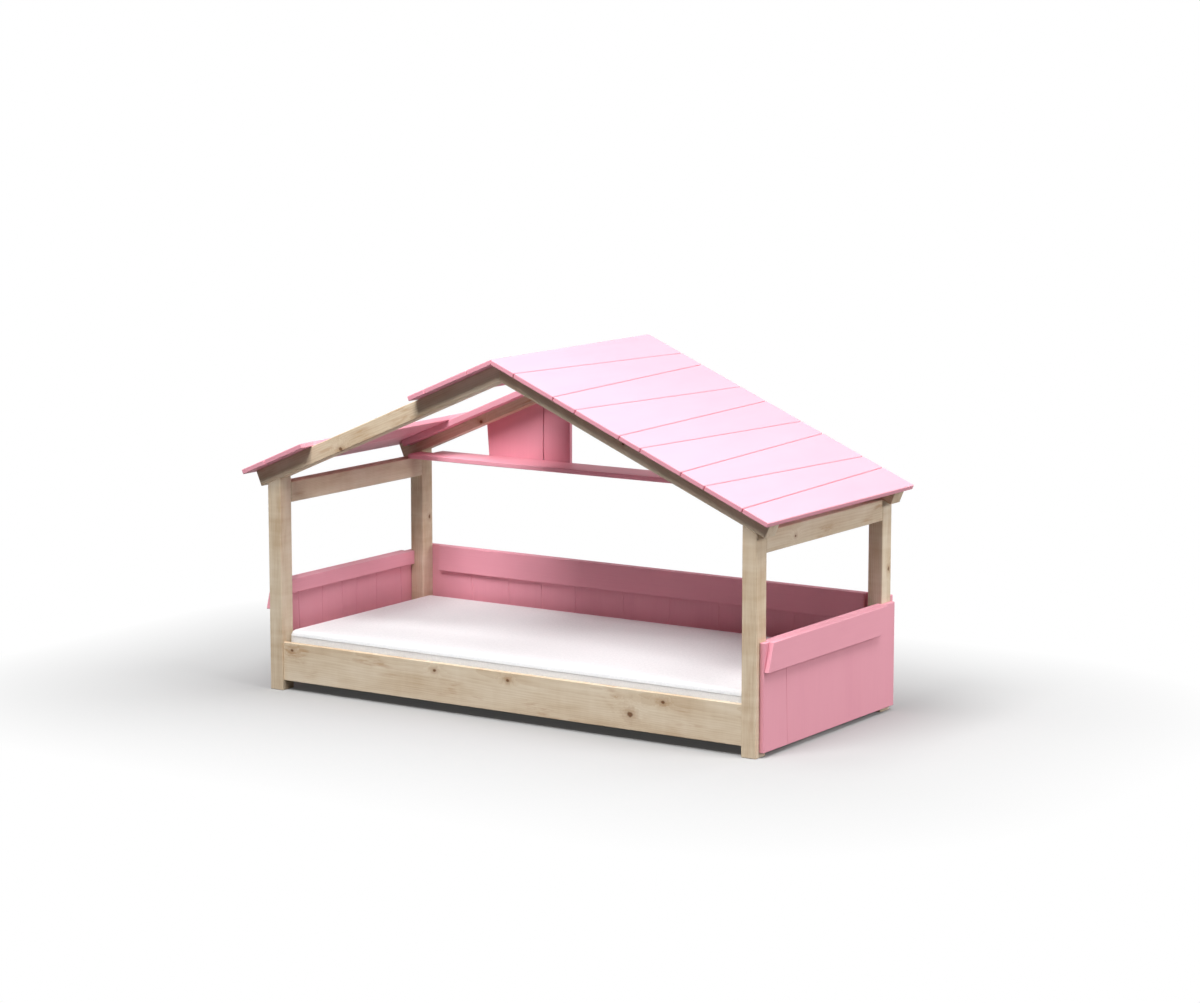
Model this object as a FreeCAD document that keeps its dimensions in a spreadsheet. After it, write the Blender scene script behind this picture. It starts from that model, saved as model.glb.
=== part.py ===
import FreeCAD, Part
import os
import re

import Sketcher
from FreeCAD import Placement, Rotation, Vector

# House frame bed: a child's bed in the frame of a small gabled house.
# Millimetres.  X runs along the bed from the foot end (-X) to the head end (+X), Y from the
# open front (-Y) to the back, Z up.  The origin is on the floor, under the middle of the roof.

# ---------------------------------------------------------------------------------------------
# Driving dimensions
# ---------------------------------------------------------------------------------------------
DIMENSIONS = {
    # the timber frame, measured over its posts
    "frame_length": 2120,
    "frame_width": 960,
    "post_width": 58,
    "post_depth": 67,
    "rafter_depth": 60,
    "rafter_apex": 1297.8,
    "rafter_tail": 55,
    "roof_pitch": 23,
    "crossbar_bottom": 708,
    "crossbar_top": 784,
    # rails, ledges and slats under the mattress
    "rail_bottom": 37.5,
    "rail_top": 183.6,
    "rail_thickness": 20,
    "rail_recess": 9,
    "housing_depth": 10,
    "housing_play": 0.2,
    "ledge_width": 25,
    "ledge_bottom": 57,
    "ledge_height": 30,
    "slat_width": 98,
    "slat_thickness": 18,
    "slat_end_gap": 2,
    # lacquered boards
    "board_thickness": 18,
    "board_gap": 3.5,
    "roof_overhang_front": 57,
    "roof_overhang_rear": 22,
    "eave_distance": 1237,
    "batten_width": 60,
    "batten_thickness": 24,
    "edge_ease": 2,
    # the gable shelf and the two boards behind it
    "shelf_front": 813,
    "shelf_bearing": 10,
    "shelf_notch": 109,
    "gable_foot_edge_low": 335,
    "gable_foot_edge_high": 320,
    "gable_seam": 592,
    "gable_head_edge": 715,
    # panels round the bed
    "panel_bottom": 18,
    "end_panel_top": 403,
    "end_panel_front": 24,
    "end_panel_back": 960,
    "back_panel_top": 424,
    # caps that stiffen the top of each panel
    "end_cap_bottom": 299,
    "end_cap_front_low": 25,
    "end_cap_front_high": 56,
    "end_cap_back_low": 828,
    "end_cap_back_high": 876,
    "inner_cap_bottom": 350,
    "back_cap_bottom": 323,
    "back_cap_inset": 100,
    # the mattress
    "mattress_length": 2000,
    "mattress_width": 898,
    "mattress_height": 121,
    "mattress_corner": 30,
    # fasteners
    "bolt_radius": 4,
    "bolt_length": 85,
    "bolt_in_post": 40,
    "nut_radius": 6,
    "nut_length": 15,
    "nut_setback": 30,
    "dowel_radius": 5,
    "dowel_length": 60,
    "screw_radius": 4,
    "screw_length": 120,
    "screw_head_radius": 8,
    "screw_head_height": 5,
    "bore_clearance": 0.4,
}

# Seams between the tapered roof boards: distance down the slope from the ridge,
# at the front edge and at the rear edge of the roof.
HEAD_SLOPE_SEAMS = [
    (110, 160), (291, 256), (391, 442), (589, 560),
    (683, 726), (862, 824), (964, 1008), (1129, 1096),
]
FOOT_UPPER_SEAMS = [(119, 122), (321, 250)]
FOOT_UPPER_END = (400, 420)
FOOT_LOWER_START = (930, 900)
FOOT_LOWER_SEAMS = [(1121, 1032)]

# Seams of the glued-up panels: (place at the top edge, place at the bottom edge),
# from the front post face on an end panel and from the foot post face on the back panel.
END_PANEL_SEAMS = [(171, 187), (321, 323), (441, 463), (543, 524), (663, 669), (821, 835)]
SEAMS_SHOWN_OUTSIDE = 1
BACK_PANEL_SEAMS = [
    (239, 268), (420, 436), (572, 601), (745, 737), (953, 978),
    (1182, 1153), (1390, 1390), (1560, 1566), (1724, 1703), (1912, 1905),
]

SLAT_COUNT = 10
ENDS = {"foot": "-1", "head": "1"}

# Derived lengths, written in the words of the sheet.
HALF_LENGTH = "(frame_length / 2)"
INNER_HALF = "(frame_length / 2 - post_width)"
FRONT = "((roof_overhang_front - roof_overhang_rear - frame_width) / 2)"
BACK = f"({FRONT} + frame_width)"
ROOF_FRONT = f"({FRONT} - roof_overhang_front)"
ROOF_DEPTH = "(frame_width + roof_overhang_front + roof_overhang_rear)"
SOFFIT_APEX = "(rafter_apex - rafter_depth / cos(roof_pitch))"
SLAT_BOTTOM = "(ledge_bottom + ledge_height)"
SLAT_TOP = f"({SLAT_BOTTOM} + slat_thickness)"

doc = FreeCAD.newDocument("HouseFrameBed")
sheet = doc.addObject("Spreadsheet::Sheet", "Dims")
finished = []


def add_dimension(alias, size):
    """Put one driving dimension in the sheet under its own name."""
    row = len(sheet_names) + 1
    sheet.set(f"A{row}", alias)
    sheet.set(f"B{row}", str(size))
    sheet.setAlias(f"B{row}", alias)
    sheet_names.append(alias)


def add_seams(name, seams, first_word, second_word):
    """Put a list of slanted seams in the sheet and return the pairs of their names."""
    pairs = []
    for number, (first, second) in enumerate(seams, start=1):
        pair = (f"{name}_{number}_{first_word}", f"{name}_{number}_{second_word}")
        add_dimension(pair[0], first)
        add_dimension(pair[1], second)
        pairs.append(pair)
    return pairs


sheet_names = []
for word, size in DIMENSIONS.items():
    add_dimension(word, size)
head_seams = add_seams("head_seam", HEAD_SLOPE_SEAMS, "front", "rear")
foot_upper_seams = add_seams("foot_upper_seam", FOOT_UPPER_SEAMS, "front", "rear")
foot_upper_end = add_seams("foot_upper_end", [FOOT_UPPER_END], "front", "rear")[0]
foot_lower_start = add_seams("foot_lower_start", [FOOT_LOWER_START], "front", "rear")[0]
foot_lower_seams = add_seams("foot_lower_seam", FOOT_LOWER_SEAMS, "front", "rear")
end_panel_seams = add_seams("end_panel_seam", END_PANEL_SEAMS, "top", "bottom")
back_panel_seams = add_seams("back_panel_seam", BACK_PANEL_SEAMS, "top", "bottom")
doc.recompute()
ALIAS = re.compile(r"\b(" + "|".join(sorted(sheet_names, key=len, reverse=True)) + r")\b")


def dimension(alias):
    """Read one driving dimension back from the sheet."""
    return float(sheet.get(alias))


def bind(target, field, formula):
    """Drive one size or place of an object by a formula in the words of the sheet."""
    target.setExpression(field, ALIAS.sub(r"Dims.\1", formula))


def place(target, corner):
    for axis, formula in zip("xyz", corner):
        bind(target, f"Placement.Base.{axis}", formula)


def rectangle(left, low, right, high):
    return [(left, low), (right, low), (right, high), (left, high)]


# ---------------------------------------------------------------------------------------------
# Sawn members and boards: a closed outline, its thickness and its eased edges
# ---------------------------------------------------------------------------------------------
def draw_outline(body, plane, name, outline):
    """Sketch a closed outline on an origin plane, with both coordinates of each corner driven."""
    sketch = body.newObject("Sketcher::SketchObject", name)
    base_plane = [face for face in body.Origin.OriginFeatures if face.Role == plane][0]
    sketch.AttachmentSupport = [(base_plane, "")]
    sketch.MapMode = "FlatFace"
    corners = len(outline)
    # The corners start spread round a circle and are drawn to their places by the constraints.
    ring = [Rotation(Vector(0, 0, 1), 360 * step / corners).multVec(Vector(100, 0, 0))
            for step in range(corners)]
    for step in range(corners):
        sketch.addGeometry(Part.LineSegment(ring[step], ring[(step + 1) % corners]), False)
    for step in range(corners):
        sketch.addConstraint(Sketcher.Constraint("Coincident", step, 2, (step + 1) % corners, 1))
    for step, (across, along) in enumerate(outline):
        for kind, start, formula in (("DistanceX", ring[step].x, across),
                                     ("DistanceY", ring[step].y, along)):
            index = sketch.addConstraint(Sketcher.Constraint(kind, -1, 1, step, 1, start))
            bind(sketch, f"Constraints[{index}]", formula)
    return sketch


def cut_mitre(body, pad, thickness, side):
    """Saw the ridge end of a roof piece plumb, so that the two slopes meet at the ridge."""
    past_ridge = f"-({side}) * 2 * {thickness}"
    waste = [
        (past_ridge, "0"),
        (f"({side}) * {thickness} * tan(roof_pitch)", "0"),
        ("0", thickness),
        (past_ridge, thickness),
    ]
    pocket = body.newObject("PartDesign::Pocket", f"{body.Name}_mitre")
    pocket.Profile = draw_outline(body, "XZ_Plane", f"{body.Name}_mitre_outline", waste)
    pocket.Type = "ThroughAll"
    doc.recompute()
    if pocket.Shape.isNull() or not pocket.Shape.Volume < pad.Shape.Volume:
        pocket.Reversed = True
        doc.recompute()
    if not pocket.Shape.Volume < pad.Shape.Volume:
        raise ValueError(f"the mitre of {body.Name} cuts nothing")
    return pocket


def edge_names(shape, is_eased=None):
    """Names of all edges, or only of those that the test picks."""
    centre = shape.BoundBox.Center
    return [f"Edge{number}" for number, edge in enumerate(shape.Edges, start=1)
            if is_eased is None or is_eased(edge, centre)]


def member(label, plane, outline, thickness, corner=("0", "0", "0"), tilt=None,
           mitre_side=None, is_eased=None):
    """Cut one piece of wood: pad its outline along +X, +Y or +Z and ease its edges."""
    body = doc.addObject("PartDesign::Body", label)
    body.Label = label
    pad = body.newObject("PartDesign::Pad", f"{label}_pad")
    pad.Profile = draw_outline(body, plane, f"{label}_outline", outline)
    pad.Reversed = plane == "XZ_Plane"
    bind(pad, "Length", thickness)
    doc.recompute()
    sawn = cut_mitre(body, pad, thickness, mitre_side) if mitre_side else pad
    eased = body.newObject("PartDesign::Chamfer", f"{label}_eased_edges")
    eased.Base = (sawn, edge_names(sawn.Shape, is_eased))
    bind(eased, "Size", "edge_ease")
    if tilt:
        body.Placement = Placement(Vector(), Rotation(Vector(0, 1, 0), 1))
        bind(body, "Placement.Rotation.Angle", tilt)
    place(body, corner)
    doc.recompute()
    return body


# ---------------------------------------------------------------------------------------------
# Fasteners and their bores
# ---------------------------------------------------------------------------------------------
TURNS = {
    "+X": Rotation(Vector(0, 0, 1), Vector(1, 0, 0)),
    "-X": Rotation(Vector(0, 0, 1), Vector(-1, 0, 0)),
    "+Y": Rotation(Vector(0, 0, 1), Vector(0, 1, 0)),
    "-Y": Rotation(Vector(0, 0, 1), Vector(0, -1, 0)),
    "+Z": Rotation(),
    "-Z": Rotation(Vector(0, 0, 1), Vector(0, 0, -1)),
}


def rod(name, radius, length, start, direction):
    """A round rod from a start point along one axis."""
    cylinder = doc.addObject("Part::Cylinder", name)
    bind(cylinder, "Radius", radius)
    bind(cylinder, "Height", length)
    cylinder.Placement = Placement(Vector(), TURNS[direction])
    place(cylinder, start)
    return cylinder


def step_along(start, direction, distance):
    """The point that lies some distance from a start point along one axis."""
    axis = "XYZ".index(direction[1])
    moved = list(start)
    moved[axis] = f"{start[axis]} {direction[0]} ({distance})"
    return tuple(moved)


def fuse(name, members):
    joined = doc.addObject("Part::MultiFuse", name)
    joined.Shapes = members
    return joined


def block(name, size, corner):
    """A plain block of three lengths from its lowest corner."""
    box = doc.addObject("Part::Box", name)
    for field, formula in zip(("Length", "Width", "Height"), size):
        bind(box, field, formula)
    place(box, corner)
    return box


def wood_screw(name, start, direction, spare="0"):
    """A screw whose head starts at the start point, with spare room all round as its bore."""
    head = rod(f"{name}_head", f"screw_head_radius + {spare}", "screw_head_height", start,
               direction)
    neck = step_along(start, direction, "screw_head_height")
    shank = rod(f"{name}_shank", f"screw_radius + {spare}", f"screw_length + {spare}", neck,
                direction)
    return fuse(name, [head, shank])


def drilled(label, blank, bores):
    """Take the bores out of a piece and give the result the piece's own name."""
    cut = doc.addObject("Part::Cut", f"{label}_drilled")
    cut.Base = blank
    cut.Tool = fuse(f"{label}_bores", bores) if len(bores) > 1 else bores[0]
    blank.Label = f"{label}_blank"
    cut.Label = label
    return cut


def grouped(label, members):
    """Identical loose pieces kept together as separate solids."""
    group = doc.addObject("Part::Compound", label)
    group.Links = members
    group.Label = label
    return group


def keep(piece):
    """Count a piece among the finished ones, each of which is written to its own file."""
    finished.append(piece)
    return piece


# ---------------------------------------------------------------------------------------------
# Where the bolts, nuts, dowels and screws go
# ---------------------------------------------------------------------------------------------
ROW_FRONTS = {"front": FRONT, "back": f"({BACK} - post_depth)"}
INWARD = {"foot": "+X", "head": "-X"}
SIDE_RAIL_FRONTS = {
    "front": f"({FRONT} + rail_recess)",
    "back": f"({BACK} - rail_recess - rail_thickness)",
}
RAIL_MIDDLES = {row: f"({front} + rail_thickness / 2)" for row, front in SIDE_RAIL_FRONTS.items()}
RAIL_LEVEL = "((rail_bottom + rail_top) / 2)"
CROSSBAR_LEVEL = "((crossbar_bottom + crossbar_top) / 2)"
RIDGE_LEVEL = "(rafter_apex - rafter_depth / cos(roof_pitch) / 2)"

bolts, nuts, dowels, screws = [], [], [], []
bolt_bores, nut_bores, crossbar_dowel_bores, housings = {}, {}, {}, {}
screw_bores, ridge_bores = {}, {}


def dowel(name, start, direction):
    """Add a dowel and return the bore that it needs."""
    dowels.append(rod(name, "dowel_radius", "dowel_length", start, direction))
    return rod(f"{name}_bore", "dowel_radius + bore_clearance / 2", "dowel_length", start,
               direction)


def rail_housings(end, row):
    """The two shallow sockets in a post that the ends of the side rail and the end rail fill."""
    if end == "head":
        side_x = end_x = INNER_HALF
    else:
        side_x = f"-{INNER_HALF} - housing_depth"
        end_x = f"-{INNER_HALF} - rail_thickness - housing_play"
    end_y = f"{FRONT} + post_depth - housing_depth" if row == "front" else ROW_FRONTS[row]
    low = "rail_bottom - housing_play"
    tall = "rail_top - rail_bottom + 2 * housing_play"
    side_socket = block(f"side_housing_{end}_{row}",
                        ("housing_depth", "rail_thickness + 2 * housing_play", tall),
                        (side_x, f"{SIDE_RAIL_FRONTS[row]} - housing_play", low))
    end_socket = block(f"end_housing_{end}_{row}",
                       ("rail_thickness + housing_play", "housing_depth", tall),
                       (end_x, end_y, low))
    return [side_socket, end_socket]


for end, side in ENDS.items():
    for row, row_front in ROW_FRONTS.items():
        corner = (end, row)
        name = f"{end}_{row}"
        housings[corner] = rail_housings(end, row)
        # A bolt set blind in the post runs through the end of the side rail to its nut.
        blind_end = (f"{side} * ({INNER_HALF} + bolt_in_post)", RAIL_MIDDLES[row], RAIL_LEVEL)
        bolts.append(rod(f"bolt_{name}", "bolt_radius", "bolt_length", blind_end, INWARD[end]))
        bolt_bores[corner] = [rod(f"bolt_bore_{name}", "bolt_radius + bore_clearance",
                                  "bolt_length + bore_clearance", blind_end, INWARD[end])]
        # The nut lies across the rail, on the bottom of a bore made from the inside.
        away = "+Y" if row == "front" else "-Y"
        middle = (f"{side} * ({INNER_HALF} - nut_setback)", RAIL_MIDDLES[row], RAIL_LEVEL)
        nut_end = step_along(middle, away, "-nut_length / 2")
        thread_start = step_along(middle, INWARD[end], "-2 * nut_radius")
        nut = doc.addObject("Part::Cut", f"nut_{name}")
        nut.Base = rod(f"nut_{name}_blank", "nut_radius", "nut_length", nut_end, away)
        nut.Tool = rod(f"nut_{name}_thread", "bolt_radius", "4 * nut_radius", thread_start,
                       INWARD[end])
        nuts.append(nut)
        nut_bores[corner] = [rod(f"nut_bore_{name}", "nut_radius + bore_clearance",
                                 "nut_length + rail_thickness", nut_end, away)]
        # One dowel holds each end of a crossbar.
        inner_face = f"({FRONT} + post_depth)" if row == "front" else row_front
        post_middle = f"{side} * ({HALF_LENGTH} - post_width / 2)"
        start = (post_middle, f"{inner_face} - dowel_length / 2", CROSSBAR_LEVEL)
        crossbar_dowel_bores[corner] = [dowel(f"crossbar_dowel_{name}", start, "+Y")]
        # A long screw goes down through the rafter into the end grain of the post.
        outward_share = "1 / 3" if row == "front" else "2 / 3"
        screw_top = (
            post_middle,
            f"{row_front} + post_depth * {outward_share}",
            f"(rafter_apex - {HALF_LENGTH} * tan(roof_pitch))",
        )
        screws.append(wood_screw(f"screw_{name}", screw_top, "-Z"))
        screw_bores[corner] = [
            wood_screw(f"screw_bore_{name}", screw_top, "-Z", "bore_clearance"),
            rod(f"screw_mouth_{name}", "screw_head_radius + bore_clearance", "rafter_depth",
                screw_top, "+Z"),
        ]

for row, row_front in ROW_FRONTS.items():
    start = ("-dowel_length / 2", f"{row_front} + post_depth / 2", RIDGE_LEVEL)
    ridge_bores[row] = [dowel(f"ridge_dowel_{row}", start, "+X")]


# ---------------------------------------------------------------------------------------------
# The timber frame
# ---------------------------------------------------------------------------------------------
def soffit_height(distance):
    """Height of the rafters' underside at a distance from the middle of the bed."""
    return f"({SOFFIT_APEX} - {distance} * tan(roof_pitch))"


for end, side in ENDS.items():
    for row, row_front in ROW_FRONTS.items():
        corner = (end, row)
        outer = f"{side} * {HALF_LENGTH}"
        inner = f"{side} * {INNER_HALF}"
        post_outline = [
            (outer, "0"),
            (inner, "0"),
            (inner, soffit_height(INNER_HALF)),
            (outer, soffit_height(HALF_LENGTH)),
        ]
        post = member(f"post_{row}_{end}", "XZ_Plane", post_outline, "post_depth",
                      ("0", row_front, "0"))
        keep(drilled(f"post_{row}_{end}", post,
                     housings[corner] + bolt_bores[corner] + crossbar_dowel_bores[corner]
                     + screw_bores[corner]))

        tail = f"({HALF_LENGTH} + rafter_tail)"
        tail_top = f"(rafter_apex - {tail} * tan(roof_pitch))"
        rafter_outline = [
            ("0", "rafter_apex"),
            (f"{side} * {tail}", tail_top),
            (f"{side} * ({tail} - rafter_depth * sin(roof_pitch))",
             f"{tail_top} - rafter_depth * cos(roof_pitch)"),
            ("0", SOFFIT_APEX),
        ]
        rafter = member(f"rafter_{row}_{end}", "XZ_Plane", rafter_outline, "post_depth",
                        ("0", row_front, "0"))
        keep(drilled(f"rafter_{row}_{end}", rafter, screw_bores[corner] + ridge_bores[row]))

    between_posts = f"{FRONT} + post_depth"
    post_gap = "frame_width - 2 * post_depth"
    keep(member(f"end_rail_{end}", "XZ_Plane",
                rectangle(f"{side} * {INNER_HALF}", "rail_bottom",
                          f"{side} * ({INNER_HALF} + rail_thickness)", "rail_top"),
                f"{post_gap} + 2 * housing_depth", ("0", f"{between_posts} - housing_depth", "0")))
    crossbar = member(f"crossbar_{end}", "XZ_Plane",
                      rectangle(f"{side} * {INNER_HALF}", "crossbar_bottom",
                                f"{side} * {HALF_LENGTH}", "crossbar_top"),
                      post_gap, ("0", between_posts, "0"))
    keep(drilled(f"crossbar_{end}", crossbar,
                 crossbar_dowel_bores[(end, "front")] + crossbar_dowel_bores[(end, "back")]))

LEDGE_FRONTS = {
    "front": f"({FRONT} + rail_recess + rail_thickness)",
    "back": f"({BACK} - rail_recess - rail_thickness - ledge_width)",
}
for row, rail_front in SIDE_RAIL_FRONTS.items():
    rail = member(f"side_rail_{row}", "YZ_Plane",
                  rectangle("0", "rail_bottom", "rail_thickness", "rail_top"),
                  f"2 * ({INNER_HALF} + housing_depth)",
                  (f"-({INNER_HALF} + housing_depth)", rail_front, "0"))
    rail_bores = [bore for end in ENDS for bore in bolt_bores[(end, row)] + nut_bores[(end, row)]]
    keep(drilled(f"side_rail_{row}", rail, rail_bores))
    keep(member(f"slat_ledge_{row}", "YZ_Plane",
                rectangle("0", "0", "ledge_width", "ledge_height"),
                f"2 * {INNER_HALF}", (f"-{INNER_HALF}", LEDGE_FRONTS[row], "ledge_bottom")))

slat_start = f"({FRONT} + rail_recess + rail_thickness + slat_end_gap)"
slat_length = "frame_width - 2 * (rail_recess + rail_thickness + slat_end_gap)"
slat_step = f"((2 * {INNER_HALF} - slat_width - 2 * slat_end_gap) / {SLAT_COUNT - 1})"
for number in range(SLAT_COUNT):
    slat_x = f"-{INNER_HALF} + slat_end_gap + {number} * {slat_step}"
    keep(member(f"bed_slat_{number + 1:02d}", "XY_Plane",
                rectangle("0", "0", "slat_width", slat_length), "slat_thickness",
                (slat_x, slat_start, SLAT_BOTTOM)))


# ---------------------------------------------------------------------------------------------
# The roof: tapered boards on two slopes, with battens under them against the rafters
# ---------------------------------------------------------------------------------------------
def slope_piece(label, side, outline, thickness, ridge_height, at_ridge):
    """A board on one slope: x is the distance from the ridge, y from the roof's front edge."""
    corner = (
        f"-({side}) * {thickness} * sin(roof_pitch)",
        ROOF_FRONT,
        f"{ridge_height} - {thickness} * cos(roof_pitch)",
    )
    turned = [(f"{side} * ({distance})", depth) for distance, depth in outline]
    return member(label, "XY_Plane", turned, thickness, corner, tilt=f"{side} * roof_pitch",
                  mitre_side=side if at_ridge else None)


def roof_boards(name, side, start, seams, stop):
    """The tapered boards of one group, from its upper end to its lower end."""
    half_gap = "board_gap / 2"
    lines = [start] + [(f"{front} - {half_gap}", f"{rear} - {half_gap}",
                        f"{front} + {half_gap}", f"{rear} + {half_gap}")
                       for front, rear in seams] + [stop]
    for number in range(len(lines) - 1):
        upper = lines[number][-2:]
        lower = lines[number + 1][:2]
        outline = [(upper[0], "0"), (lower[0], "0"), (lower[1], ROOF_DEPTH),
                   (upper[1], ROOF_DEPTH)]
        keep(slope_piece(f"{name}_{number + 1}", side, outline, "board_thickness",
                         "(rafter_apex + board_thickness / cos(roof_pitch))",
                         at_ridge=lines[number] == RIDGE))


RIDGE = ("0", "0")
EAVE = ("eave_distance", "eave_distance")
roof_boards("roof_board_head", ENDS["head"], RIDGE, head_seams, EAVE)
roof_boards("roof_board_foot_upper", ENDS["foot"], RIDGE, foot_upper_seams, foot_upper_end)
roof_boards("roof_board_foot_lower", ENDS["foot"], foot_lower_start, foot_lower_seams, EAVE)

BATTEN_STARTS = {
    "front": "roof_overhang_front + post_depth",
    "back": f"{ROOF_DEPTH} - roof_overhang_rear - post_depth - batten_width",
}
for end, side in ENDS.items():
    for row, batten_start in BATTEN_STARTS.items():
        foot_of_batten = f"{HALF_LENGTH} / cos(roof_pitch)"
        outline = rectangle("0", batten_start, foot_of_batten, f"{batten_start} + batten_width")
        keep(slope_piece(f"roof_batten_{row}_{end}", side, outline, "batten_thickness",
                         "rafter_apex", at_ridge=True))

# ---------------------------------------------------------------------------------------------
# The gable shelf across the back and the two boards that rise from it
# ---------------------------------------------------------------------------------------------
shelf_end = f"({INNER_HALF} + shelf_bearing)"
notch_end = f"({HALF_LENGTH} - shelf_notch)"
post_line = f"{BACK} - post_depth"
shelf_outline = [
    (f"-{shelf_end}", f"{FRONT} + shelf_front"),
    (shelf_end, f"{FRONT} + shelf_front"),
    (shelf_end, post_line),
    (notch_end, post_line),
    (notch_end, BACK),
    (f"-{notch_end}", BACK),
    (f"-{notch_end}", post_line),
    (f"-{shelf_end}", post_line),
]
keep(member("gable_shelf", "XY_Plane", shelf_outline, "board_thickness",
            ("0", "0", "crossbar_top")))


def under_roof(across):
    """Height of the underside of the roof boards on the foot slope."""
    return f"(rafter_apex + ({across}) * tan(roof_pitch))"


def gable_board(label, low_left, high_left, right):
    """A board that stands on the level of the shelf and is cut off along the roof's slope."""
    outline = [(low_left, "crossbar_top"), (right, "crossbar_top"),
               (right, under_roof(right)), (high_left, under_roof(high_left))]
    return keep(member(label, "XZ_Plane", outline, "board_thickness", ("0", BACK, "0")))


seam_left = f"gable_seam - {HALF_LENGTH} - board_gap / 2"
seam_right = f"gable_seam - {HALF_LENGTH} + board_gap / 2"
gable_board("gable_board_1", f"gable_foot_edge_low - {HALF_LENGTH}",
            f"gable_foot_edge_high - {HALF_LENGTH}", seam_left)
gable_board("gable_board_2", seam_right, seam_right, f"gable_head_edge - {HALF_LENGTH}")


# ---------------------------------------------------------------------------------------------
# Panels: tapered boards glued edge to edge, with a V along each seam, and their caps
# ---------------------------------------------------------------------------------------------
def flush_outside(outside, shown_left, shown_right):
    """Test for the edges of a board whose seams are flush on the face at x = outside.

    A seam that shows outside, or the panel's own rim, is eased on both faces all the same.
    """
    def is_eased(edge, centre):
        first, last = [vertex.Point for vertex in edge.Vertexes]
        shown = shown_right if first.y + last.y > 2 * centre.y else shown_left
        through_board = abs(first.x - last.x) > 1
        on_outside = abs(first.x - outside) < 0.01 and not through_board
        level = abs(first.z - last.z) < 1 and not through_board
        return level or shown or not (through_board or on_outside)
    return is_eased


def glued_panel(label, plane, seams, first, last, top, corner, outside=None, shown_seams=0):
    """Join tapered boards into one panel; their eased edges leave the V of each seam."""
    lines = [(first, first)] + seams + [(last, last)]
    boards = []
    for number in range(len(lines) - 1):
        left_top, left_low = lines[number]
        right_top, right_low = lines[number + 1]
        outline = [(left_low, "panel_bottom"), (right_low, "panel_bottom"),
                   (right_top, top), (left_top, top)]
        shown_left = number <= shown_seams
        shown_right = number < shown_seams or number == len(lines) - 2
        is_eased = None if outside is None else flush_outside(outside, shown_left, shown_right)
        boards.append(member(f"{label}_board_{number + 1}", plane, outline, "board_thickness",
                             corner, is_eased=is_eased))
    panel = fuse(label, boards)
    panel.Label = label
    return keep(panel)


for end, side in ENDS.items():
    # The panel covers the outside of the posts; the outer cap lies on it, the inner one in it.
    panel_x = HALF_LENGTH if end == "head" else f"-{HALF_LENGTH} - board_thickness"
    outer_x = (f"{HALF_LENGTH} + board_thickness" if end == "head"
               else f"-{HALF_LENGTH} - 2 * board_thickness")
    inner_x = f"{HALF_LENGTH} - board_thickness" if end == "head" else f"-{HALF_LENGTH}"
    outside = dimension("board_thickness") if end == "head" else 0
    glued_panel(f"panel_{end}", "YZ_Plane", end_panel_seams, "end_panel_front",
                "end_panel_back", "end_panel_top", (panel_x, FRONT, "0"), outside,
                SEAMS_SHOWN_OUTSIDE)
    outer_outline = [("end_cap_front_low", "end_cap_bottom"),
                     ("end_cap_back_low", "end_cap_bottom"),
                     ("end_cap_back_high", "end_panel_top"),
                     ("end_cap_front_high", "end_panel_top")]
    keep(member(f"cap_{end}_outer", "YZ_Plane", outer_outline, "board_thickness",
                (outer_x, FRONT, "0")))
    keep(member(f"cap_{end}_inner", "YZ_Plane",
                rectangle("post_depth", "inner_cap_bottom", "frame_width - post_depth",
                          "end_panel_top"),
                "board_thickness", (inner_x, FRONT, "0")))

glued_panel("panel_back", "XZ_Plane", back_panel_seams, "0", "frame_length", "back_panel_top",
            (f"-{HALF_LENGTH}", BACK, "0"))
keep(member("cap_back_inner", "XZ_Plane",
            rectangle("back_cap_inset", "back_cap_bottom", "frame_length - back_cap_inset",
                      "back_panel_top"),
            "board_thickness", (f"-{HALF_LENGTH}", f"{BACK} - board_thickness", "0")))


# ---------------------------------------------------------------------------------------------
# The mattress: rounded corners, drawn-in sides and a low crown
# ---------------------------------------------------------------------------------------------
def rounded_loop(length, width, corner, height):
    """A closed line of four straight runs and four quarter turns at one height."""
    x, y = length / 2, width / 2
    quarters = [(x - corner, y - corner, 0), (corner - x, y - corner, 90),
                (corner - x, corner - y, 180), (x - corner, corner - y, 270)]
    edges = []
    arcs = []
    for centre_x, centre_y, start in quarters:
        turn = [Rotation(Vector(0, 0, 1), start + step).multVec(Vector(corner, 0, 0))
                + Vector(centre_x, centre_y, height) for step in (0, 45, 90)]
        arcs.append(turn)
    for number, turn in enumerate(arcs):
        edges.append(Part.Arc(*turn).toShape())
        following = arcs[(number + 1) % len(arcs)]
        edges.append(Part.LineSegment(turn[2], following[0]).toShape())
    return Part.Wire(edges)


# Each section: share of the height, how far the side is drawn in, and how far the corner opens.
MATTRESS_SECTIONS = [
    (0.00, 10, 0), (0.09, 1, 0), (0.46, 3, 0), (0.83, 0, 0), (0.93, 4, 0), (0.98, 16, 0),
    (1.00, 160, 60),
]
length = dimension("mattress_length")
width = dimension("mattress_width")
height = dimension("mattress_height")
corner_radius = dimension("mattress_corner")
loops = [rounded_loop(length - 2 * inset, width - 2 * inset, corner_radius + opened,
                      share * height)
         for share, inset, opened in MATTRESS_SECTIONS]
mattress = doc.addObject("Part::Feature", "mattress")
mattress.Shape = Part.makeLoft(loops, True, True)
mattress.Label = "mattress"
middle_of_bed = FRONT + " + frame_width / 2"
place(mattress, ("0", middle_of_bed, SLAT_TOP))
keep(mattress)

# ---------------------------------------------------------------------------------------------
# Fasteners, each kind in one group
# ---------------------------------------------------------------------------------------------
keep(grouped("bed_bolts", bolts))
keep(grouped("barrel_nuts", nuts))
keep(grouped("frame_dowels", dowels))
keep(grouped("rafter_screws", screws))

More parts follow.
